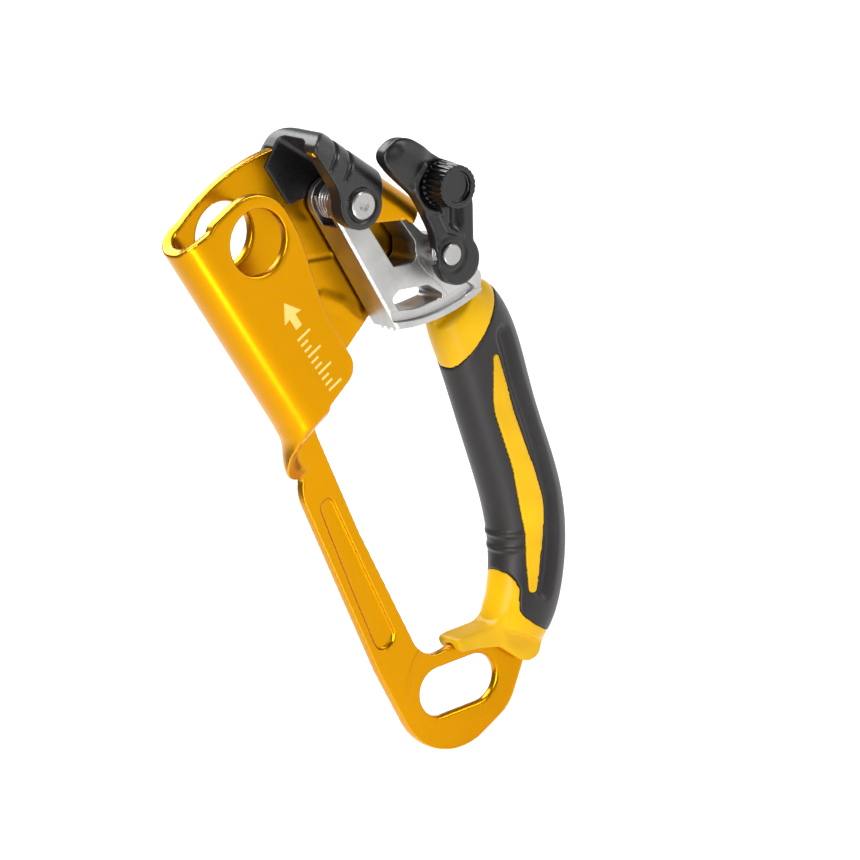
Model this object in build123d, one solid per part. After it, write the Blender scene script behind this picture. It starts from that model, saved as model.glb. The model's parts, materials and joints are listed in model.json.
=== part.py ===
from build123d import *
from math import cos, exp, hypot, log, radians, sin
import os

# Handled rope ascender with its cam held open.
# +X points from the rope channel to the hand grip, +Y to the back and +Z up along the channel.
# The origin is on the axis of the upper attachment hole, midway between the channel's two walls.
# All sizes are in millimetres, and outlines are (X, Z) points seen from the front.

# Folded sheet
SHEET = 3.5
CHANNEL_GAP = 13.6
WALL_IN = CHANNEL_GAP / 2
WALL_OUT = WALL_IN + SHEET

# Upper attachment hole, through both walls
HOLE_R = 9.5
HOLE_CHAMFER = 0.5

# Rope channel: a half-round bend with a flared lower end, under an arched head
BEND_X = -10.8
BEND_LEG = 2.5
BEND_BOTTOM_Z = -54.0
HEAD_TOP_Z = 20.0
HEAD_ARC_R = 61.8
HEAD_ARC_CENTRE = (4.6, -48.3)
FLAP_TOP_Z = 14.0
# (Z, outward shift) down the flare, and (Y, Z) along the channel's two cut ends
FLARE = [(-54, 0), (-59, 0.4), (-62.5, 1.6), (-66, 3.6), (-69.5, 4.7), (-84, 4.8)]
TOP_CUT = [(10.3, 12.1), (5, 11.3), (-3, 11.4), (-6.8, 12.6), (-10.3, 13.0)]
LOWER_CUT = [(-10.3, -55.2), (-7.3, -57.8), (0, -64.2), (7.3, -75.5), (10.3, -80)]

# Head fold: a squared U, whose crease runs down to the right
FOLD_TILT = 22.0
FOLD_OUT = 36.8
FOLD_FLAT = 30.3
FOLD_CORNER_R = FOLD_OUT - FOLD_FLAT
FOLD_TOP = 2.8
FOLD_ROUND = 6.0
FOLD_BOTTOM = 45.5
EAR_R = 6.2

# Spine groove and lower slot
GROOVE_R = 3.4
GROOVE_D = 1.2
SLOT_CENTRE = (-13.4, -164.2)
SLOT_W = 14.6
SLOT_LENGTH = 28.0
SLOT_TILT = -25.0
SLOT_CHAMFER = 0.7

# Cam axle, its sleeve and washers
AXLE = (32.5, -13.5)
AXLE_R = 3.0
AXLE_HEAD_R = 4.0
AXLE_HEAD_T = 1.6
BUSH_R = 4.2
RUN_GAP = 0.05
REAR_WASHER_R = 5.6
REAR_WASHER_T = 0.8

# Head cover
COVER_T = 2.0
COVER_OUT = FOLD_OUT + 1.0
COVER_TOP = 1.4
COVER_LINER = 0.5
COVER_END = 27.0
COVER_LINER_END = 23.5
COVER_END_R = 7.2
COVER_RECESS_R = 5.2
COVER_RECESS_D = 0.7
COVER_GROOVES = (9.0, 15.0)
COVER_GROOVE_W = 1.1
COVER_GROOVE_D = 0.8

# Cam
CAM_HALF_W = 5.9
CAM_FLANGE_T = 2.3
CAM_HUB_R = 6.3
CAM_WASHER_R = 5.1
CAM_TIP_R = 42.0
CAM_END_R = 56.2
CAM_TIP_ANGLE = -101.0
CAM_END_ANGLE = -67.5
CAM_SWEEP_R = 58.6
POCKET_R = 7.6
GUTTER_INNER = 5.8
GUTTER_OUTER = 2.3
GUTTER_D = 1.8
CAM_EDGE_CHAMFER = 0.9
STEP_D = 0.5
TOOTH_H = 1.3
TOOTH_ROOT = 0.8
TOOTH_R = 0.95
TOOTH_TIP_R = 0.15
TOOTH_LEAN = 22.0
TOOTH_COLUMNS = 9
TOOTH_ROWS = 3
TOOTH_PITCH_Y = 2.8
TOOTH_MID_Y = 0.9

# Catch on the cam
CATCH_PIVOT = (46.8, -43.6)
CATCH_FOOT = (48.4, -47.2)
CATCH_REAR = -10.9
CATCH_FRONT = -15.4
CATCH_R = 7.4
CATCH_PIN_R = 2.2
CATCH_HEAD_R = 3.1
CATCH_HEAD_T = 1.0
CATCH_POCKET_R = 4.6
CATCH_POCKET_D = 2.6
SPACER_R = 3.0
PAD_CENTRE = (55.5, -24.2)
PAD_R = 6.2
PAD_BASE_R = 6.7
PAD_DEPTH = 0.8
PAD_FRONT = -24.3
PAD_FLUTES = 24
PAD_FLUTE_R = 0.5
PAD_DISH_R = 4.6
PAD_DISH_D = 1.4

# Springs
CAM_SPRING_WIRE = 1.2
CAM_SPRING_TURNS = 4
CATCH_SPRING_WIRE = 0.7
CATCH_SPRING_TURNS = 3

# Grip: (X, Z, half width, half depth) down its middle line
GRIP_Y = WALL_IN + SHEET / 2
GRIP_SKIN = 2.2
GRIP_STATIONS = [
    (54.0, -66.5, 7.0, 6.5),
    (53.0, -70.0, 10.6, 9.2),
    (52.0, -78.0, 12.6, 10.8),
    (49.6, -90.0, 12.8, 11.2),
    (43.4, -112.0, 12.4, 11.0),
    (37.2, -134.0, 12.5, 11.2),
    (29.2, -149.0, 11.9, 10.8),
    (19.0, -160.0, 11.2, 10.2),
    (11.0, -165.0, 9.4, 8.8),
]
FOOT_FRONT = 3.0
FOOT_BACK = 13.6


def tilt_point(p, a):
    """The (X, Z) point at p across and a along the tilted head fold."""
    c, s = cos(radians(FOLD_TILT)), sin(radians(FOLD_TILT))
    return (p * c + a * s, p * s - a * c)


def polar(centre, radius, angle):
    """The (X, Z) point at a radius and angle about a centre."""
    return (centre[0] + radius * cos(radians(angle)), centre[1] + radius * sin(radians(angle)))


def outline(corners):
    """A closed XZ face through (X, Z, radius) corners."""
    points = [(x, z) for x, z, _ in corners]
    radii = [r for _, _, r in corners]
    return Plane.XZ * make_face(FilletPolyline(*points, radius=radii, close=True))


def slab(face, front, back):
    """An XZ face thickened from y = front to y = back."""
    return Pos(0, back, 0) * extrude(face, amount=back - front)


def disc(centre, radius, front, back):
    """A round slab about an axis parallel to Y."""
    return slab(Plane.XZ * (Pos(*centre) * Circle(radius)), front, back)


def ring(centre, outer, inner, front, back):
    """A round slab with a hole."""
    return disc(centre, outer, front, back) - disc(centre, inner, front, back)


def fold_prism(out, half_depth, corner, top, bottom, start=0.0):
    """A prism along the head fold, from p = start to p = out, with rounded outer corners."""
    across, along = tilt_point(1, 0), tilt_point(0, 1)
    plane = Plane(origin=(0, 0, 0), x_dir=(across[0], 0, across[1]), z_dir=(along[0], 0, along[1]))
    corners = [(start, -half_depth), (out, -half_depth), (out, half_depth), (start, half_depth)]
    face = make_face(FilletPolyline(*corners, radius=[0, corner, corner, 0], close=True))
    return extrude(plane.offset(top) * face, amount=bottom - top)


def fold_blank(top, bottom, out):
    """The flat outline of a wrap over the head fold, with its outer corners rounded."""
    return slab(outline([
        (*tilt_point(0, top), 0), (*tilt_point(out, top), FOLD_ROUND),
        (*tilt_point(out, bottom), 2), (*tilt_point(0, bottom), 0)]), -20, 20)


def round_edges(solid, radius):
    """The circular edges of a given radius about an axis parallel to Y."""
    circles = solid.edges().filter_by(GeomType.CIRCLE)
    return circles.filter_by(lambda e: abs(e.radius - radius) < 1e-3)


def head_arch():
    """Everything under the head's arched top edge."""
    arch = Pos(*HEAD_ARC_CENTRE) * Circle(HEAD_ARC_R)
    below = Pos(0, HEAD_ARC_CENTRE[1] - 100) * Rectangle(300, 200)
    return slab(Plane.XZ * (arch + below), -20, 20)


def channel_section():
    """The channel's half-round bend with a short leg on each wall, on the XY plane."""
    ring_face = Pos(BEND_X, 0) * (Circle(WALL_OUT) - Circle(WALL_IN))
    left = Pos(BEND_X - WALL_OUT, 0) * Rectangle(2 * WALL_OUT, 4 * WALL_OUT)
    legs = Rectangle(BEND_LEG, SHEET)
    mid = WALL_IN + SHEET / 2
    leg_x = BEND_X + BEND_LEG / 2
    return (ring_face & left) + Pos(leg_x, mid) * legs + Pos(leg_x, -mid) * legs


def channel_bend():
    """The rope channel's bend, with its slanted top and its flared, slanted lower end."""
    straight = extrude(Pos(0, 0, BEND_BOTTOM_Z) * channel_section(), amount=HEAD_TOP_Z - BEND_BOTTOM_Z)
    flare = loft([Pos(-shift, 0, z) * channel_section() for z, shift in FLARE])
    top = [(20, TOP_CUT[0][1])] + TOP_CUT + [(-20, TOP_CUT[-1][1])]
    bottom = [(-20, LOWER_CUT[0][1])] + LOWER_CUT + [(20, LOWER_CUT[-1][1])]
    limit = extrude(Plane.YZ * make_face(Polyline(*(top + bottom), close=True)), amount=60, both=True)
    return (straight + flare) & limit


def back_plate():
    """The flat back plate: head, spine, lobe and the bar inside the grip, round the hand opening."""
    fold_top, fold_end = tilt_point(FOLD_FLAT + 0.2, -10), tilt_point(FOLD_FLAT + 0.2, FOLD_BOTTOM)
    body = outline([
        (BEND_X, HEAD_TOP_Z, 0),
        (*fold_top, 0),
        (*fold_end, 3),
        (57.5, -51, 12),
        (57, -80, 30),
        (43, -135, 40),
        (27, -158, 20),
        (9, -174.4, 14),
        (-3, -182.3, 16),
        (-36.2, -182.3, 20),
        (-33, -141.5, 60),
        (-23.4, -80, 12),
        (-15.4, -70, 5),
        (BEND_X, -58, 5),
    ])
    hand_opening = outline([
        (-19, -150.4, 9),
        (-14, -102, 80),
        (-7.4, -60, 14),
        (47, -47.5, 12),
        (47, -79, 25),
        (30, -133, 30),
        (13.5, -160, 6),
        (-5, -153.4, 12),
    ])
    plate = slab(body - hand_opening, WALL_IN, WALL_OUT) & head_arch()
    groove = outline([
        (-15.4, -86, 2.2),
        (-19.0, -113, 60),
        (-22.0, -137.2, GROOVE_R),
        (-29.8, -137.2, GROOVE_R),
        (-25.6, -113, 60),
        (-20.4, -86, 2.2),
    ])
    plate = plate + slab(groove, WALL_OUT, WALL_OUT + GROOVE_D)
    plate = plate - slab(groove, WALL_IN, WALL_IN + GROOVE_D)
    slot_face = Pos(*SLOT_CENTRE) * Rot(0, 0, SLOT_TILT) * SlotOverall(SLOT_LENGTH, SLOT_W)
    plate = plate - slab(Plane.XZ * slot_face, 0, 2 * WALL_OUT)
    rims = round_edges(plate, SLOT_W / 2)
    return chamfer(rims, SLOT_CHAMFER) if len(rims) else plate


def front_flap():
    """The channel's front flap, round the upper hole and down beside the rope."""
    return slab(outline([
        (BEND_X, TOP_CUT[-1][1], 0),
        (BEND_X + 2, FLAP_TOP_Z, 3),
        (12.8, FLAP_TOP_Z, 12.7),
        (12.4, -6, 24),
        (6.2, -31, 40),
        (5.6, -52.4, 6),
        (BEND_X, LOWER_CUT[0][1], 0),
    ]), -WALL_OUT, -WALL_IN)


def ear():
    """The front ear that holds the cam axle, on the end of the head fold."""
    fold_top = tilt_point(FOLD_FLAT + 0.2, FOLD_TOP)
    fold_end = tilt_point(FOLD_FLAT + 0.2, FOLD_BOTTOM - 1)
    plate = outline([
        (*fold_top, 0),
        (*fold_end, 0),
        (*polar(AXLE, EAR_R - 0.2, -125), 0),
        (*polar(AXLE, EAR_R - 0.6, 150), 0),
        (29.8, -7, 2),
    ])
    return slab(plate, -WALL_OUT, -WALL_IN) + disc(AXLE, EAR_R, -WALL_OUT, -WALL_IN)


def frame():
    """One folded sheet: plate, channel, flap, head fold and ear."""
    outer = fold_prism(FOLD_OUT, WALL_OUT, FOLD_CORNER_R, FOLD_TOP, FOLD_BOTTOM, FOLD_FLAT - 1)
    inner = fold_prism(FOLD_OUT - SHEET, WALL_IN, FOLD_CORNER_R - SHEET, FOLD_TOP - 1, FOLD_BOTTOM + 1)
    fold = (outer - inner) & fold_blank(FOLD_TOP, FOLD_BOTTOM, FOLD_OUT)
    sheet = back_plate() + channel_bend() + front_flap() + ear() + fold
    sheet = sheet - disc((0, 0), HOLE_R, -20, 20) - disc(AXLE, AXLE_R, -20, 20)
    return chamfer(round_edges(sheet, HOLE_R), HOLE_CHAMFER)


def head_cover(sheet):
    """The moulded cover over the head fold, with its lip round the sheet's edge and its liner."""
    front_face = outline([
        (*tilt_point(30.4, COVER_TOP), 2),
        (*tilt_point(45, COVER_TOP), 0),
        (*tilt_point(45, COVER_END), 0),
        (*tilt_point(30.5, 29.5), 0),
        (AXLE[0], AXLE[1] - COVER_END_R, 0),
        (AXLE[0] - COVER_END_R, AXLE[1], 0),
        (28.8, -4.5, 8),
    ])
    back_face = outline([
        (21.5, 12.4, 0.5),
        (28.2, 10.0, 2),
        (*tilt_point(45, COVER_TOP), 0),
        (*tilt_point(45, COVER_END), 0),
        (*tilt_point(33, COVER_END), 0),
        (*tilt_point(33, COVER_LINER_END), 0),
        (*tilt_point(27, COVER_LINER_END), 0),
        (21.5, -7.5, 1),
    ])
    depth = WALL_OUT + COVER_T
    body = slab(front_face, -depth, 0) + disc(AXLE, COVER_END_R, -depth, 0) + slab(back_face, 0, depth)
    body = body & fold_prism(COVER_OUT, depth, FOLD_CORNER_R + COVER_T, -10, 60)
    body = body & fold_blank(COVER_TOP, 60, COVER_OUT)
    lined = fold_prism(FOLD_OUT - SHEET - COVER_LINER, WALL_IN - COVER_LINER, 2.2, -10, COVER_LINER_END)
    bare = fold_prism(FOLD_OUT - SHEET, WALL_IN, FOLD_CORNER_R - SHEET, COVER_LINER_END, 60)
    body = body - lined - bare - sheet - disc(AXLE, REAR_WASHER_R + 0.4, -WALL_IN, depth + 1)
    recess = disc(AXLE, COVER_RECESS_R, -depth - 1, -depth + COVER_RECESS_D)
    body = body - recess - disc(AXLE, AXLE_R, -20, 0)
    for top in COVER_GROOVES:
        rim = fold_prism(COVER_OUT + 1, depth + 1, FOLD_CORNER_R + COVER_T, top, top + COVER_GROOVE_W, 28)
        floor = fold_prism(COVER_OUT - COVER_GROOVE_D, depth - COVER_GROOVE_D,
                           FOLD_CORNER_R + COVER_T - COVER_GROOVE_D, top - 1, top + 2, 20)
        body = body - (rim - floor)
    return body


def cam_axle():
    """The rivet through cover, ear, sleeve and back plate, with a dished head."""
    front = -WALL_OUT - COVER_T + COVER_RECESS_D
    back = WALL_OUT + REAR_WASHER_T
    shank = disc(AXLE, AXLE_R, front, back)
    head = disc(AXLE, AXLE_HEAD_R, front - AXLE_HEAD_T, front)
    head = chamfer(head.edges().group_by(Axis.Y)[0], 0.4)
    dish = Pos(AXLE[0], front - AXLE_HEAD_T, AXLE[1]) * Rot(90, 0, 0) * Cone(0.6, 2.8, 0.7)
    tail = disc(AXLE, AXLE_R + 1.4, back, back + 1.3)
    tail = chamfer(tail.edges().group_by(Axis.Y)[-1], 0.5)
    return shank + (head - dish) + tail


def spiral(inset, start=CAM_TIP_ANGLE, end=CAM_END_ANGLE, count=7):
    """The cam's logarithmic edge, as one curve about the axle, pulled in by inset."""
    growth = log(CAM_END_R / CAM_TIP_R) / (CAM_END_ANGLE - CAM_TIP_ANGLE)
    angles = [start + (end - start) * i / (count - 1) for i in range(count)]
    radii = [CAM_TIP_R * exp(growth * (a - CAM_TIP_ANGLE)) - inset for a in angles]
    return [polar(AXLE, r, a) for r, a in zip(radii, angles)]


def cam_teeth():
    """Leaning conical teeth in staggered rows over the cam's edge."""
    growth = log(CAM_END_R / CAM_TIP_R) / (CAM_END_ANGLE - CAM_TIP_ANGLE)
    upright = (Align.CENTER, Align.CENTER, Align.MIN)
    tooth = Cone(TOOTH_R, TOOTH_TIP_R, TOOTH_H + TOOTH_ROOT, align=upright)
    teeth = []
    for column in range(TOOTH_COLUMNS):
        share = (column + 0.7) / (TOOTH_COLUMNS + 0.6)
        angle = CAM_TIP_ANGLE + (CAM_END_ANGLE - CAM_TIP_ANGLE) * share
        radius = CAM_TIP_R * exp(growth * (angle - CAM_TIP_ANGLE)) - TOOTH_ROOT
        x, z = polar(AXLE, radius, angle)
        rows = TOOTH_ROWS - column % 2
        for row in range(rows):
            y = TOOTH_MID_Y + (row - (rows - 1) / 2) * TOOTH_PITCH_Y
            teeth.append(Pos(x, y, z) * Rot(0, 90 - angle + TOOTH_LEAN, 0) * tooth)
    return teeth


def cam():
    """The cast cam: hub fork, toothed spiral edge, two windows, gutter and stepped arm."""
    tip, end = spiral(0)[0], spiral(0)[-1]
    back_line = FilletPolyline(
        end, (57.2, -61.5), (55.4, -45.5), (47.8, -38.5), (46.2, -31.6), (38, -12), (26.4, -12), tip,
        radius=[3, 7, 4, 14, 0, 0])
    blank = Plane.XZ * make_face(Spline(*spiral(0)) + back_line)
    body = slab(blank, -CAM_HALF_W, CAM_HALF_W)
    left_edge = body.edges().filter_by(lambda e: e.center().X < 27.5 and e.center().Y < 0 and e.length > 40)
    body = chamfer(left_edge, CAM_EDGE_CHAMFER) + disc(AXLE, CAM_HUB_R, -CAM_HALF_W, CAM_HALF_W)
    upper_window = outline([
        (33.9, -21.6, 1), (33.9, -38.8, 1), (41.0, -43.0, 2.4),
        (44.2, -38.4, 3), (43.6, -29, 6), (39.4, -21.6, 1)])
    lower_window = outline([
        (27.9, -46.2, 1.4), (31.5, -45.8, 1.5), (40.2, -51.2, 2),
        (43.9, -58.9, 1.3), (34.1, -55.2, 12), (27.9, -50.9, 1.2)])
    body = body - slab(upper_window, -10, 10) - slab(lower_window, -10, 10)
    pocket_half = CAM_HALF_W - CAM_FLANGE_T
    body = body - disc(AXLE, POCKET_R, -pocket_half, pocket_half) - disc(AXLE, BUSH_R + RUN_GAP, -10, 10)
    outer, inner = spiral(GUTTER_OUTER), spiral(GUTTER_INNER)
    rims = Spline(*outer) + Spline(*inner)
    gutter = make_face(rims + Line(outer[-1], inner[-1]) + Line(inner[0], outer[0]))
    body = body - slab(Plane.XZ * gutter, -CAM_HALF_W - 1, -CAM_HALF_W + GUTTER_D)
    arm_step = outline([
        (43.3, -29, 0), (43.6, -37.5, 6), (41.4, -44.5, 6), (43.4, -54.5, 10),
        (44.4, -62, 0), (60, -66, 0), (60, -29, 0)])
    body = body - slab(arm_step, -CAM_HALF_W - 1, -CAM_HALF_W + STEP_D)
    for tooth in cam_teeth():
        body = body + tooth
    return body - disc(CATCH_PIVOT, CATCH_PIN_R, -10, 10)


def catch():
    """The catch lever: a round foot on its pivot and a thick knob above it."""
    lever = outline([
        (43.4, -4.2, 3.5), (53.6, -3.6, 8), (57.8, -13.5, 8), (60.0, -18.5, 2), (64.2, -24.3, 4),
        (63, -35, 14), (55.6, -46, 0), (CATCH_FOOT[0], CATCH_FOOT[1] - CATCH_R + 0.5, 0),
        (41.1, -46, 2), (46.0, -35, 10), (47.2, -23, 14), (44.3, -12, 16)])
    body = slab(lever, CATCH_FRONT, CATCH_REAR) + disc(CATCH_FOOT, CATCH_R, CATCH_FRONT, CATCH_REAR)
    body = body - disc(CATCH_PIVOT, CATCH_PIN_R + RUN_GAP, -30, 0)
    body = body - disc(CATCH_PIVOT, CATCH_POCKET_R, CATCH_REAR - CATCH_POCKET_D, 0)
    return body - disc(PAD_CENTRE, PAD_BASE_R, CATCH_FRONT - 1, CATCH_FRONT + PAD_DEPTH)


def catch_pad():
    """The round thumb pad: a dished drum with flutes down its side."""
    height = CATCH_FRONT + PAD_DEPTH - PAD_FRONT
    middle = Pos(PAD_CENTRE[0], PAD_FRONT + height / 2, PAD_CENTRE[1])
    drum = middle * Rot(90, 0, 0) * Cone(PAD_BASE_R, PAD_R, height)
    for flute in range(PAD_FLUTES):
        centre = polar(PAD_CENTRE, PAD_R + 0.3, 360 * flute / PAD_FLUTES)
        drum = drum - disc(centre, PAD_FLUTE_R, PAD_FRONT - 1, CATCH_FRONT - 0.8)
    return drum - disc(PAD_CENTRE, PAD_DISH_R, PAD_FRONT - 1, PAD_FRONT + PAD_DISH_D)


def catch_pivot():
    """The catch's rivet, fixed in the cam."""
    pin = disc(CATCH_PIVOT, CATCH_PIN_R, CATCH_FRONT - 0.1, CAM_HALF_W)
    head = disc(CATCH_PIVOT, CATCH_HEAD_R, CATCH_FRONT - 0.1 - CATCH_HEAD_T, CATCH_FRONT - 0.1)
    return pin + chamfer(head.edges().group_by(Axis.Y)[0], 0.3)


def torsion_spring(centre, coil_r, wire, turns, front, lean, leg):
    """A coil about an axis parallel to Y, with a straight leg at each end."""
    pitch = wire * 1.06
    path = Helix(pitch=pitch, height=pitch * turns, radius=coil_r)
    start = Plane(origin=path @ 0, z_dir=path % 0)
    finish = Plane(origin=path @ 1, z_dir=path % 1)
    coil = sweep(start * Circle(wire / 2), path=path)
    legs = extrude(start * Circle(wire / 2), amount=-leg) + extrude(finish * Circle(wire / 2), amount=leg)
    place = Pos(centre[0], front + wire / 2, centre[1]) * Rot(0, lean, 0) * Rot(-90, 0, 0)
    return place * (coil + legs)


def grip_body(inset):
    """The grip's smooth outer form, pulled in by inset, lofted down its middle line."""
    faces = []
    for i, (x, z, half_w, half_d) in enumerate(GRIP_STATIONS):
        before, after = GRIP_STATIONS[max(i - 1, 0)], GRIP_STATIONS[min(i + 1, len(GRIP_STATIONS) - 1)]
        dx, dz = after[0] - before[0], after[1] - before[1]
        length = hypot(dx, dz)
        dx, dz = dx / length, dz / length
        plane = Plane(origin=(x, GRIP_Y, z), x_dir=(-dz, 0, dx), z_dir=(dx, 0, dz))
        faces.append(plane * Ellipse(half_w - inset, half_d - inset))
    return loft(faces)


def grip_foot():
    """The lower hand rest, from its toe on the plate to the grip's round end."""
    face = outline([
        (-8.2, -151.0, 1.2), (5.6, -157.4, 6), (15.2, -153.5, 5), (23, -147, 0), (29, -151, 0),
        (17.8, -170, 5), (12.3, -174.8, 3), (7.5, -173.8, 5), (3.2, -163.2, 5), (-2.6, -158.4, 4),
        (-8.6, -154.6, 1.5)])
    return slab(face, FOOT_FRONT, FOOT_BACK)


def grip(sheet):
    """The grip's two moulded parts: the hard core and the soft skin between its ends."""
    whole, core = grip_body(0), grip_body(GRIP_SKIN)
    top_zone = slab(outline([
        (20, -40, 0), (90, -40, 0), (90, -62, 0), (62, -73.4, 0), (20, -92.5, 0)]), -20, 40)
    foot_zone = slab(outline([
        (-30, -130, 0), (6, -137, 0), (18.5, -146.5, 4), (17.2, -152, 3), (12.6, -157.5, 4),
        (14.6, -163.5, 6), (24, -180, 0), (20, -200, 0), (-30, -200, 0)]), -20, 40)
    stripe = slab(outline([
        (51.8, -80, 1), (44.6, -104.7, 30), (40.3, -124, 40), (37.3, -134.2, 20), (31.7, -142.2, 20),
        (20.4, -155.6, 0.9), (18.2, -154.4, 0.9), (27.5, -138.8, 30), (35, -119.6, 40), (40, -99.6, 30)]),
        -20, GRIP_Y - 1)
    clear_cam = disc(AXLE, CAM_SWEEP_R, -20, WALL_IN)
    soft = whole - core - top_zone - foot_zone - stripe - grip_foot()
    hard = (whole - soft) + grip_foot()
    hard = hard - clear_cam - sheet
    soft = soft - clear_cam - sheet
    return hard, soft


def write(node, shape):
    """Name one node and write its STEP file."""
    shape.label = node
    export_step(shape, f"parts/{node}.step")


def main():
    os.makedirs("parts", exist_ok=True)
    sheet = frame()
    washer_t = WALL_IN - CAM_HALF_W - RUN_GAP
    write("frame", sheet)
    write("head_cover", head_cover(sheet))
    write("cam_axle", cam_axle())
    write("axle_washer", ring(AXLE, REAR_WASHER_R, AXLE_R, WALL_OUT, WALL_OUT + REAR_WASHER_T))
    write("axle_bush", ring(AXLE, BUSH_R, AXLE_R, -WALL_IN, WALL_IN))
    write("cam_washer_front", ring(AXLE, CAM_WASHER_R, BUSH_R, -WALL_IN, -WALL_IN + washer_t))
    write("cam_washer_rear", ring(AXLE, CAM_WASHER_R, BUSH_R, WALL_IN - washer_t, WALL_IN))
    write("cam", cam())
    write("cam_spring", torsion_spring(
        AXLE, BUSH_R + 0.3 + CAM_SPRING_WIRE / 2, CAM_SPRING_WIRE, CAM_SPRING_TURNS, -3.2, 200, 3))
    write("catch", catch())
    write("catch_pad", catch_pad())
    write("catch_pivot", catch_pivot())
    write("catch_spacer", ring(CATCH_PIVOT, SPACER_R, CATCH_PIN_R, CATCH_REAR + 0.1, -CAM_HALF_W + STEP_D))
    write("catch_spring", torsion_spring(
        CATCH_PIVOT, 3.3, CATCH_SPRING_WIRE, CATCH_SPRING_TURNS, CATCH_REAR - CATCH_POCKET_D + 0.1, 30, 1))
    hard, soft = grip(sheet)
    write("grip_core", hard)
    write("grip_rubber", soft)


main()
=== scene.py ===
import json
import math

import bmesh
import bpy
import numpy as np
from mathutils import Matrix, Vector


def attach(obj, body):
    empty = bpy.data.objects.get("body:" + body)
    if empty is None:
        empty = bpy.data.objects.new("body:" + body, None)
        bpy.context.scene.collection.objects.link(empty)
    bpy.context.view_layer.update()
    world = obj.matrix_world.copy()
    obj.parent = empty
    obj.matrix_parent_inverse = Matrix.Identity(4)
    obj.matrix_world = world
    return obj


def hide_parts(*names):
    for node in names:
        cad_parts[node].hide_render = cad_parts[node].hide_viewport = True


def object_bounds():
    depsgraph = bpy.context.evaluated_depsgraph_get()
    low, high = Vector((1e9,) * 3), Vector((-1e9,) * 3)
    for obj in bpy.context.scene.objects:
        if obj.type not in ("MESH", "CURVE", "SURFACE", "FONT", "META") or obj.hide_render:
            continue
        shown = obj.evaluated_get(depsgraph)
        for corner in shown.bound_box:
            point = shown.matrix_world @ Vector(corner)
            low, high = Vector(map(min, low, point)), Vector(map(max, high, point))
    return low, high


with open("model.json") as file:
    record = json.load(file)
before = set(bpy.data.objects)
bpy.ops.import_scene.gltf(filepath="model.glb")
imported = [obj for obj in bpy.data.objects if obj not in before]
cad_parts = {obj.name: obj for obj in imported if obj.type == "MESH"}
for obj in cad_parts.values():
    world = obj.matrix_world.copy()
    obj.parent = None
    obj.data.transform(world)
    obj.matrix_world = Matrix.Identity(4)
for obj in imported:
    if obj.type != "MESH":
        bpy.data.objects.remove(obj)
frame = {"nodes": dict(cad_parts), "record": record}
cad_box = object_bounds()

MM = 0.001
BODY_OF = {
    node: body
    for body, nodes in frame["record"]["behaviour"]["bodies"].items()
    for node in nodes
}
SLOT_OF = {part["node"]: part["material_slot"] for part in frame["record"]["subparts"]}


# ---------------------------------------------------------------- material tools

# Pointiness of convex edges and of creases, from where the painted edge highlight and the painted
# crease shade start to where they are full
EDGE_HIGHLIGHT_POINTINESS = (0.52, 0.60)
CREASE_SHADE_POINTINESS = (0.42, 0.485)

# The middle of a noise texture, where nearly all of its values lie
NOISE_LOW, NOISE_HIGH = 0.3, 0.7


def new_material(name, color, metallic, roughness, **sockets):
    """A Principled material; every uniform value sits on the shader's own socket."""
    material = bpy.data.materials.new(name)
    material.use_nodes = True
    shader = material.node_tree.nodes["Principled BSDF"]
    shader.inputs["Base Color"].default_value = (*color, 1)
    shader.inputs["Metallic"].default_value = metallic
    shader.inputs["Roughness"].default_value = roughness
    for socket, value in sockets.items():
        shader.inputs[socket.replace("_", " ")].default_value = value
    return material


def noise(material, scale, stretch=(1, 1, 1), **inputs):
    """Noise in the object's own coordinates, in cycles per metre."""
    nodes, links = material.node_tree.nodes, material.node_tree.links
    coords = nodes.get("Texture Coordinate") or nodes.new("ShaderNodeTexCoord")
    mapping = nodes.new("ShaderNodeMapping")
    mapping.inputs["Scale"].default_value = stretch
    links.new(coords.outputs["Object"], mapping.inputs["Vector"])
    texture = nodes.new("ShaderNodeTexNoise")
    texture.inputs["Scale"].default_value = scale
    for name, value in inputs.items():
        texture.inputs[name].default_value = value
    links.new(mapping.outputs["Vector"], texture.inputs["Vector"])
    return texture.outputs[0]


def ramp(material, source, stops):
    """A colour ramp from (position, (r, g, b)) stops."""
    node = material.node_tree.nodes.new("ShaderNodeValToRGB")
    while len(node.color_ramp.elements) < len(stops):
        node.color_ramp.elements.new(0.5)
    for element, (position, color) in zip(node.color_ramp.elements, stops):
        element.position = position
        element.color = (*color, 1)
    material.node_tree.links.new(source, node.inputs["Fac"])
    return node.outputs["Color"]


def scalar(material, source, low, high, source_low, source_high):
    """The source's range mapped to low..high."""
    node = material.node_tree.nodes.new("ShaderNodeMapRange")
    node.inputs["From Min"].default_value = source_low
    node.inputs["From Max"].default_value = source_high
    node.inputs["To Min"].default_value = low
    node.inputs["To Max"].default_value = high
    material.node_tree.links.new(source, node.inputs["Value"])
    return node.outputs["Result"]


def mix(material, factor, a, b):
    """Two colours mixed by a factor; each is an (r, g, b) or a node's output."""
    node = material.node_tree.nodes.new("ShaderNodeMix")
    node.data_type = "RGBA"
    factor_socket, color_a, color_b = node.inputs["Factor"], node.inputs[6], node.inputs[7]
    material.node_tree.links.new(factor, factor_socket)
    for socket, value in ((color_a, a), (color_b, b)):
        if isinstance(value, tuple):
            socket.default_value = (*value, 1)
        else:
            material.node_tree.links.new(value, socket)
    return node.outputs[2]


def plug(material, source, socket):
    """Joins a source to one of the Principled shader's sockets."""
    shader = material.node_tree.nodes["Principled BSDF"]
    material.node_tree.links.new(source, shader.inputs[socket])


def bump(material, height, strength, distance):
    """Bump on the Principled shader's normal."""
    nodes, links = material.node_tree.nodes, material.node_tree.links
    node = nodes.new("ShaderNodeBump")
    node.inputs["Strength"].default_value = strength
    node.inputs["Distance"].default_value = distance
    links.new(height, node.inputs["Height"])
    links.new(node.outputs["Normal"], nodes["Principled BSDF"].inputs["Normal"])


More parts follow.
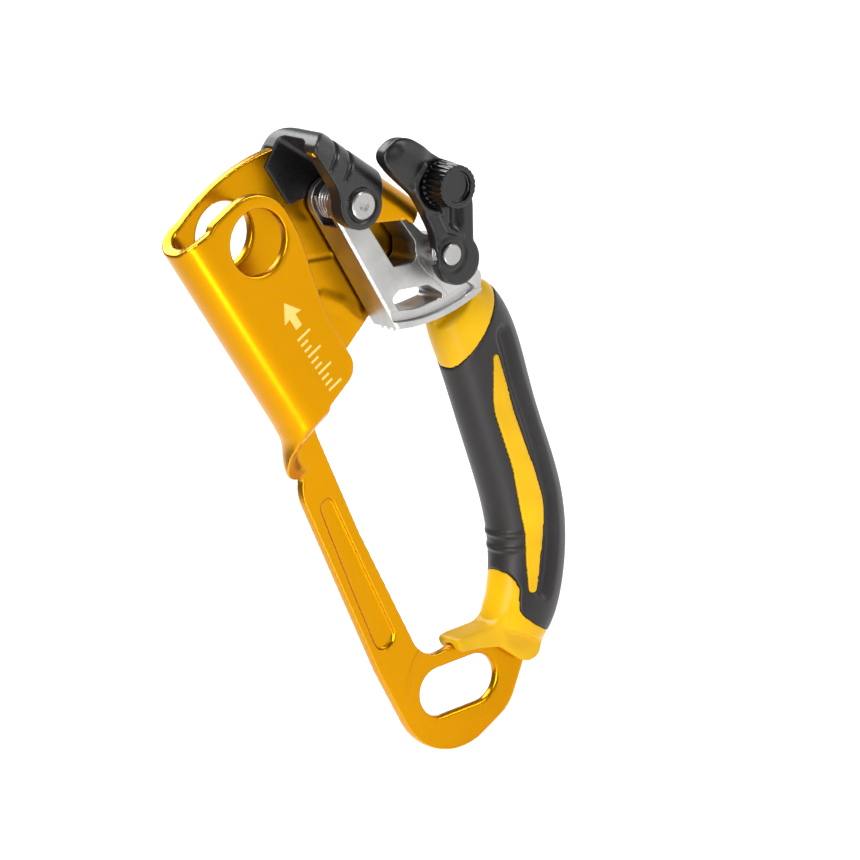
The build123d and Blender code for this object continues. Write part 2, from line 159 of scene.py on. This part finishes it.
def pointiness(material, low, high):
    """0 where the surface is hollower than low, 1 where it is sharper than high."""
    geometry = material.node_tree.nodes.new("ShaderNodeNewGeometry")
    return scalar(material, geometry.outputs["Pointiness"], 0, 1, low, high)


def edge_highlight_and_crease_shade(material, tone, highlight_tone, shade_tone):
    """The tone, lightened to the second tone on convex edges as a painted highlight and darkened to
    the third in creases as painted shade.
    """
    # Painted highlight on convex edges first, then painted shade in creases over it
    highlighted = mix(material, pointiness(material, *EDGE_HIGHLIGHT_POINTINESS), tone, highlight_tone)
    return mix(material, pointiness(material, *CREASE_SHADE_POINTINESS), shade_tone, highlighted)


def shade(color, factor):
    """The colour made lighter or darker."""
    return tuple(factor * c for c in color)


# ---------------------------------------------------------------- materials

def gold_material(color):
    """Satin gold anodising, with a painted highlight in a lighter gold on its edges and painted shade
    in its creases.
    """
    material = new_material("gold_anodised", color, 1.0, 0.3)
    cloud = noise(material, 26, Detail=3, Roughness=0.5)
    tone = ramp(material, cloud, [(NOISE_LOW, shade(color, 0.9)), (NOISE_HIGH, color)])
    # The lighter gold of the painted edge highlight; the creases get painted shade at 0.55 of the
    # colour
    edge_highlight_gold = (0.92, 0.55, 0.08)
    plug(material, edge_highlight_and_crease_shade(material, tone, edge_highlight_gold, shade(color, 0.55)), "Base Color")
    blast = noise(material, 2600, Detail=2)
    plug(material, scalar(material, cloud, 0.24, 0.34, NOISE_LOW, NOISE_HIGH), "Roughness")
    bump(material, blast, 0.05, 0.00004)
    return material


def steel_material(name, color, roughness, grain=(1, 1, 1), scale=900):
    """Bare steel with a fine grain and cloudy patches, a painted highlight on its edges and painted
    shade in its creases.
    """
    material = new_material(name, color, 1.0, roughness)
    fine = noise(material, scale, grain, Detail=4, Roughness=0.6)
    broad = noise(material, 60, Detail=3)
    tone = ramp(material, broad, [(0.32, shade(color, 0.72)), (0.6, color)])
    # Painted highlight on edges at 1.1 and painted shade in creases at 0.4 of the colour
    plug(material, edge_highlight_and_crease_shade(material, tone, shade(color, 1.1), shade(color, 0.4)), "Base Color")
    rough = scalar(material, fine, roughness - 0.07, roughness + 0.1, NOISE_LOW, NOISE_HIGH)
    plug(material, rough, "Roughness")
    bump(material, fine, 0.08, 0.00005)
    return material


def plastic_material(name, color, roughness, grain_scale, grain_strength, specular=0.5):
    """Moulded plastic or rubber with a fine grain and a faintly uneven tone."""
    material = new_material(name, color, 0.0, roughness, Specular_IOR_Level=specular)
    fine = noise(material, grain_scale, Detail=3, Roughness=0.55)
    broad = noise(material, 45, Detail=2)
    tone = ramp(material, broad, [(NOISE_LOW, shade(color, 0.86)), (NOISE_HIGH, shade(color, 1.18))])
    plug(material, tone, "Base Color")
    rough = scalar(material, fine, roughness - 0.05, roughness + 0.08, NOISE_LOW, NOISE_HIGH)
    plug(material, rough, "Roughness")
    bump(material, fine, grain_strength, 0.00008)
    return material


def mark_material():
    """The pale, slightly rough gold of the flap's marks."""
    material = new_material("pale_mark", (0.95, 0.62, 0.17), 0.8, 0.4)
    bump(material, noise(material, 1800, Detail=2), 0.1, 0.00004)
    return material


# Noise that is stretched along Z
DRAWN_ALONG_Z = (1, 1, 0.25)

LOOK_OF_SLOT = {
    "anodised_frame": gold_material((0.62, 0.272, 0.002)),
    "cover_plastic": plastic_material("cover_black", (0.009, 0.009, 0.0095), 0.30, 2400, 0.03, 0.55),
    "steel": steel_material("rivet_steel", (0.40, 0.39, 0.38), 0.3),
    "cam_steel": steel_material("cam_steel", (0.49, 0.485, 0.475), 0.38, DRAWN_ALONG_Z, 1600),
    "spring_steel": steel_material("spring_steel", (0.36, 0.36, 0.37), 0.3),
    "bearing_plastic": plastic_material("bearing_black", (0.012, 0.012, 0.012), 0.5, 2000, 0.1),
    "catch_plastic": plastic_material("catch_black", (0.007, 0.007, 0.0075), 0.32, 2200, 0.08, 0.45),
    "pad_plastic": plastic_material("pad_black", (0.003, 0.003, 0.0035), 0.16, 1500, 0.03),
    "grip_yellow": plastic_material("grip_yellow", (0.68, 0.385, 0.001), 0.33, 2600, 0.06, 0.2),
    "grip_rubber": plastic_material("grip_rubber", (0.021, 0.0185, 0.019), 0.40, 3200, 0.2, 0.32),
}
MARK = mark_material()


# ---------------------------------------------------------------- shape tools

SMOOTH_FACTOR = 0.5

# The turn, in radians, over which a CAD node's edge is broken
BEVEL_ANGLE = 0.7

# How far the marks reach into the face that they stand on
MARK_SUNK = 0.2


def in_scene(name, data):
    """A new object in the scene."""
    piece = bpy.data.objects.new(name, data)
    bpy.context.scene.collection.objects.link(piece)
    return piece


def prisms(name, shapes, y_front, y_back):
    """A mesh of prisms between two y levels, from (x, z) outlines; all in millimetres."""
    verts, faces = [], []
    for shape in shapes:
        first, count = len(verts), len(shape)
        for y in (y_front, y_back):
            verts += [(x * MM, y * MM, z * MM) for x, z in shape]
        faces.append([first + i for i in range(count)])
        faces.append([first + count + i for i in reversed(range(count))])
        for i in range(count):
            j = (i + 1) % count
            faces.append([first + i, first + count + i, first + count + j, first + j])
    mesh = bpy.data.meshes.new(name)
    mesh.from_pydata(verts, [], faces)
    return mesh


def with_filler(mesh, filler):
    """Adds another closed mesh to a mesh."""
    joined = bmesh.new()
    joined.from_mesh(mesh)
    joined.from_mesh(filler)
    bmesh.ops.recalc_face_normals(joined, faces=joined.faces)
    joined.to_mesh(mesh)
    joined.free()


def bake(piece):
    """Applies the piece's modifiers to its mesh."""
    graph = bpy.context.evaluated_depsgraph_get()
    mesh = bpy.data.meshes.new_from_object(piece.evaluated_get(graph), depsgraph=graph)
    piece.modifiers.clear()
    piece.data = mesh


def softened(node, voxel, rounds, filler=None):
    """A close copy of a CAD node with softly rounded edges, which stands for the node."""
    mesh = frame["nodes"][node].data.copy()
    if filler:
        with_filler(mesh, filler)
    piece = in_scene(node + "_look", mesh)
    remesh = piece.modifiers.new("remesh", "REMESH")
    remesh.mode = "VOXEL"
    remesh.voxel_size = voxel * MM
    remesh.use_smooth_shade = True
    soft = piece.modifiers.new("soft", "SMOOTH")
    soft.factor = SMOOTH_FACTOR
    soft.iterations = rounds
    bake(piece)
    piece.data.shade_smooth()
    use_material(piece, LOOK_OF_SLOT[SLOT_OF[node]])
    join_body(piece, node)
    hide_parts(node)
    return piece


def use_material(piece, material):
    """Gives a piece one material and no other."""
    piece.data.materials.clear()
    piece.data.materials.append(material)


def join_body(piece, node):
    """The body of a new piece, taken from the CAD node that it belongs to."""
    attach(piece, BODY_OF[node])


def path_distance(points, path):
    """How far each (x, z) point is from a path of straight runs."""
    nearest = np.full(len(points), np.inf)
    for (ax, az), (bx, bz) in zip(path, path[1:]):
        start, run = np.array((ax, az)), np.array((bx - ax, bz - az))
        along = np.clip(((points - start) @ run) / (run @ run), 0, 1)
        nearest = np.minimum(nearest, np.linalg.norm(points - start - along[:, None] * run, axis=1))
    return nearest


def press(piece, y_limits, path, width, depth, facing=(0, -1, 0)):
    """Presses a rounded furrow along an (x, z) path into the faces that look one way.

    Only what lies between the two y limits moves, and a depth below 0 raises a ridge instead.
    """
    mesh = piece.data
    count = len(mesh.vertices)
    co, normal = np.empty(3 * count), np.empty(3 * count)
    mesh.vertices.foreach_get("co", co)
    mesh.vertices.foreach_get("normal", normal)
    co, normal = co.reshape(-1, 3), normal.reshape(-1, 3)
    away = path_distance(co[:, [0, 2]] / MM, path) / (width / 2)
    turned = np.clip(normal @ np.array(Vector(facing).normalized()), 0, 1)
    inside = (co[:, 1] / MM > y_limits[0]) & (co[:, 1] / MM < y_limits[1])
    amount = np.where((away < 1) & inside, (1 - away ** 2) ** 2, 0) * turned * depth * MM
    co -= normal * amount[:, None]
    mesh.vertices.foreach_set("co", co.reshape(-1))
    mesh.update()


def arc(centre, radius, start, end, count=9):
    """(x, z) points along an arc between two angles in degrees."""
    angles = [math.radians(start + (end - start) * i / (count - 1)) for i in range(count)]
    return [(centre[0] + radius * math.cos(a), centre[1] + radius * math.sin(a)) for a in angles]


def break_edges(piece, width):
    """Rounds a piece's sharp edges over by a width in millimetres."""
    cut = piece.modifiers.new("broken_edges", "BEVEL")
    cut.width = width * MM
    cut.segments = 2
    cut.limit_method = "ANGLE"
    return cut


def raised_marks(name, node, shapes, y_face, height):
    """Thin raised prisms on a face that looks along -Y, from (x, z) outlines in millimetres."""
    piece = in_scene(name, prisms(name, shapes, y_face - height, y_face + MARK_SUNK))
    break_edges(piece, height / 2)
    use_material(piece, MARK)
    join_body(piece, node)


# ---------------------------------------------------------------- pieces, in millimetres

PLATE_Y = (5.5, 12)
FRONT_OF_CATCH = (-20, -12.5)
FRONT_OF_GRIP = (-6, 9)
INNER_GRIP = (-2, 19)
FOOT_Y = (2, 15)
UPWARDS = (0, 0, 1)
TOWARDS_HAND = (-1, -0.5, 0)

LOBE_RIDGE_CENTRE = (-13.4, -164.2)
CATCH_PIVOT = (46.8, -43.6)
PAD_CENTRE = (55.5, -24.2)
FILL_Y = (6.6, 9.4)
RIB_Z = (-135.6, -140.4)

FLAP_FACE_Y = -10.3
MARK_HEIGHT = 0.12
TICK_COUNT = 10
TICK_TOP = -31.0
TICK_PITCH = 2.1
TICK_WIDTH = 0.8
TICK_LEFT = -6.2
SHORT_TICK_END = -3.4
LONG_TICK_END = -1.0


def dress_frame():
    """The folded sheet, with a crease and a swell beside the cam and a faint ridge in the lobe."""
    sheet = softened("frame", 0.4, 14)
    press(sheet, PLATE_Y, [(14.5, -22.5), (24.8, -29)], 2.4, 0.4)
    press(sheet, PLATE_Y, [(15.0, -37), (19.5, -43), (21.5, -50)], 7, -0.7)
    press(sheet, PLATE_Y, arc(LOBE_RIDGE_CENTRE, 19, 95, 150), 2.2, -0.25)


def dress_catch():
    """The catch lever: thick knob, collar round the pad, waist, spine and ring round the pivot."""
    catch = softened("catch", 0.28, 60)
    press(catch, FRONT_OF_CATCH, [(49.2, -8.5), (52, -13)], 15, -2.4)
    press(catch, FRONT_OF_CATCH, arc(PAD_CENTRE, 8.4, 105, 235), 2.6, -1.0)
    press(catch, FRONT_OF_CATCH, [(56.5, -33), (53.6, -37.5)], 6, 1.6)
    press(catch, FRONT_OF_CATCH, [(50.5, -32), (50.0, -37), (52.5, -42)], 2.6, -0.9)
    press(catch, FRONT_OF_CATCH, arc(CATCH_PIVOT, 5.2, 0, 360, 33), 2.0, 0.35)


def dress_core():
    """The grip's hard core, filled over the plate's edge and crowned along its foot."""
    fill = [(-4.5, -152.9), (5.2, -156.9), (9.5, -156.0), (9.5, -160.5), (5.2, -160.0), (-4.5, -155.9)]
    core = softened("grip_core", 0.42, 14, prisms("foot_fill", [fill], *FILL_Y))
    press(core, FOOT_Y, [(-5, -153.4), (3, -155.6), (12, -158)], 11, -0.9, UPWARDS)


def dress_rubber():
    """The grip's soft skin, with its long valley beside the stripe and two finger ribs."""
    rubber = softened("grip_rubber", 0.42, 5)
    valley = [(54.8, -84), (50.1, -98), (47.6, -110), (44, -122.5), (39.7, -134), (33.5, -144.3),
              (27.4, -151.8), (22.4, -156.6)]
    press(rubber, FRONT_OF_GRIP, valley, 8, 2.1)
    for z in RIB_Z:
        press(rubber, INNER_GRIP, [(17, z + 1.6), (27, z - 3.0)], 2.6, -0.8, TOWARDS_HAND)


def tick(step):
    """One raised tick of the row on the flap; every third is longer."""
    top = TICK_TOP - TICK_PITCH * step
    bottom = top - TICK_WIDTH
    end = LONG_TICK_END if step % 3 == 0 else SHORT_TICK_END
    return [(TICK_LEFT, top), (end, top), (end, bottom), (TICK_LEFT, bottom)]


def mark_flap():
    """A plain arrow and a row of ticks on the front flap."""
    arrow = [(-3.6, -19.4), (-0.2, -25.0), (-2.4, -24.6), (-2.4, -28.6), (-4.8, -28.6), (-4.8, -24.6),
             (-7.0, -25.0)]
    ticks = [tick(step) for step in range(TICK_COUNT)]
    raised_marks("flap_marks", "frame", [arrow] + ticks, FLAP_FACE_Y, MARK_HEIGHT)


def keep_cad(node, bevel):
    """A CAD node that is shown as it is, with fine broken edges where bevel is over 0."""
    piece = frame["nodes"][node]
    use_material(piece, LOOK_OF_SLOT[SLOT_OF[node]])
    if bevel:
        cut = break_edges(piece, bevel)
        cut.angle_limit = BEVEL_ANGLE
        cut.harden_normals = True


dress_frame()
softened("head_cover", 0.24, 34)
softened("cam", 0.18, 5)
dress_catch()
softened("catch_pad", 0.17, 2)
dress_core()
dress_rubber()
mark_flap()

BEVEL_OF = {
    "cam_axle": 0.15,
    "axle_washer": 0.15,
    "axle_bush": 0,
    "cam_washer_front": 0,
    "cam_washer_rear": 0,
    "catch_pivot": 0.12,
    "catch_spacer": 0.15,
    "cam_spring": 0,
    "catch_spring": 0,
}
for node, bevel in BEVEL_OF.items():
    keep_cad(node, bevel)


# ---------------------------------------------------------------- stage

FLOOR_HALF = 12.0
FLOOR_GAP = 0.004
FLOOR_GLOW = 0.3
WORLD_STRENGTH = 0.24
WHITE = (1, 1, 1, 1)
MIDDLE = Vector((0.012, 0.0, -0.085))


def add_floor():
    """A wide, plain pale floor just below the part."""
    z = cad_box[0][2] - FLOOR_GAP
    corners = [(-1, -1), (1, -1), (1, 1), (-1, 1)]
    mesh = bpy.data.meshes.new("floor")
    mesh.from_pydata([(x * FLOOR_HALF, y * FLOOR_HALF, z) for x, y in corners], [], [(0, 1, 2, 3)])
    mesh.materials.append(new_material(
        "floor_white", (0.9, 0.9, 0.9), 0.0, 0.9, Emission_Color=WHITE, Emission_Strength=FLOOR_GLOW))
    in_scene("floor", mesh)


def add_world():
    """Even white light from all round."""
    world = bpy.data.worlds.new("studio")
    bpy.context.scene.world = world
    world.use_nodes = True
    background = world.node_tree.nodes["Background"]
    background.inputs["Color"].default_value = WHITE
    background.inputs["Strength"].default_value = WORLD_STRENGTH
    bpy.context.scene.view_settings.view_transform = "Standard"


def softbox(name, direction, distance, size, power):
    """A soft rectangular light that looks at the part's middle."""
    data = bpy.data.lights.new(name, "AREA")
    data.shape = "RECTANGLE"
    data.size, data.size_y = size
    data.energy = power
    light = in_scene(name, data)
    towards = Vector(direction).normalized()
    light.location = MIDDLE + towards * distance
    light.rotation_euler = towards.to_track_quat("Z", "Y").to_euler()


add_floor()
add_world()
softbox("key", (-0.9, -0.35, 0.75), 1.0, (0.22, 1.0), 9.0)
softbox("front", (0.1, -1.0, 0.35), 1.2, (0.5, 0.5), 1.4)
softbox("side", (0.9, -0.6, 0.5), 1.1, (0.18, 0.9), 5.0)
softbox("back", (0.3, 0.8, 0.75), 0.8, (0.5, 0.5), 4.5)
softbox("low_left", (-0.85, -0.5, -0.05), 0.3, (0.03, 0.16), 0.15)


# ---------------------------------------------------------------- camera

# The photograph's view: where its right and its viewer lie in the part's frame
PHOTO_RIGHT = Vector((0.654, -0.600, -0.459))
PHOTO_BACK = Vector((-0.3745, -0.785, 0.4925))

# The view's middle, in metres right of, below and behind the part's origin
AIM_RIGHT, AIM_DOWN, AIM_BEHIND = 0.05393, 0.05402, 0.035
VIEW_WIDTH = 0.24684
CAMERA_DISTANCE = 1.8
SENSOR_WIDTH = 36.0
CLIP_END = 100


def add_camera():
    """The camera at the photograph's angle."""
    back = PHOTO_BACK.normalized()
    right = (PHOTO_RIGHT - back * PHOTO_RIGHT.dot(back)).normalized()
    up = back.cross(right)
    data = bpy.data.cameras.new("camera")
    data.sensor_width = SENSOR_WIDTH
    data.lens = SENSOR_WIDTH * CAMERA_DISTANCE / VIEW_WIDTH
    data.clip_end = CLIP_END
    camera = in_scene("camera", data)
    place = Matrix((right, up, back)).transposed().to_4x4()
    aim = right * AIM_RIGHT - up * AIM_DOWN - back * AIM_BEHIND
    place.translation = aim + back * CAMERA_DISTANCE
    camera.matrix_world = place
    bpy.context.scene.camera = camera


add_camera()
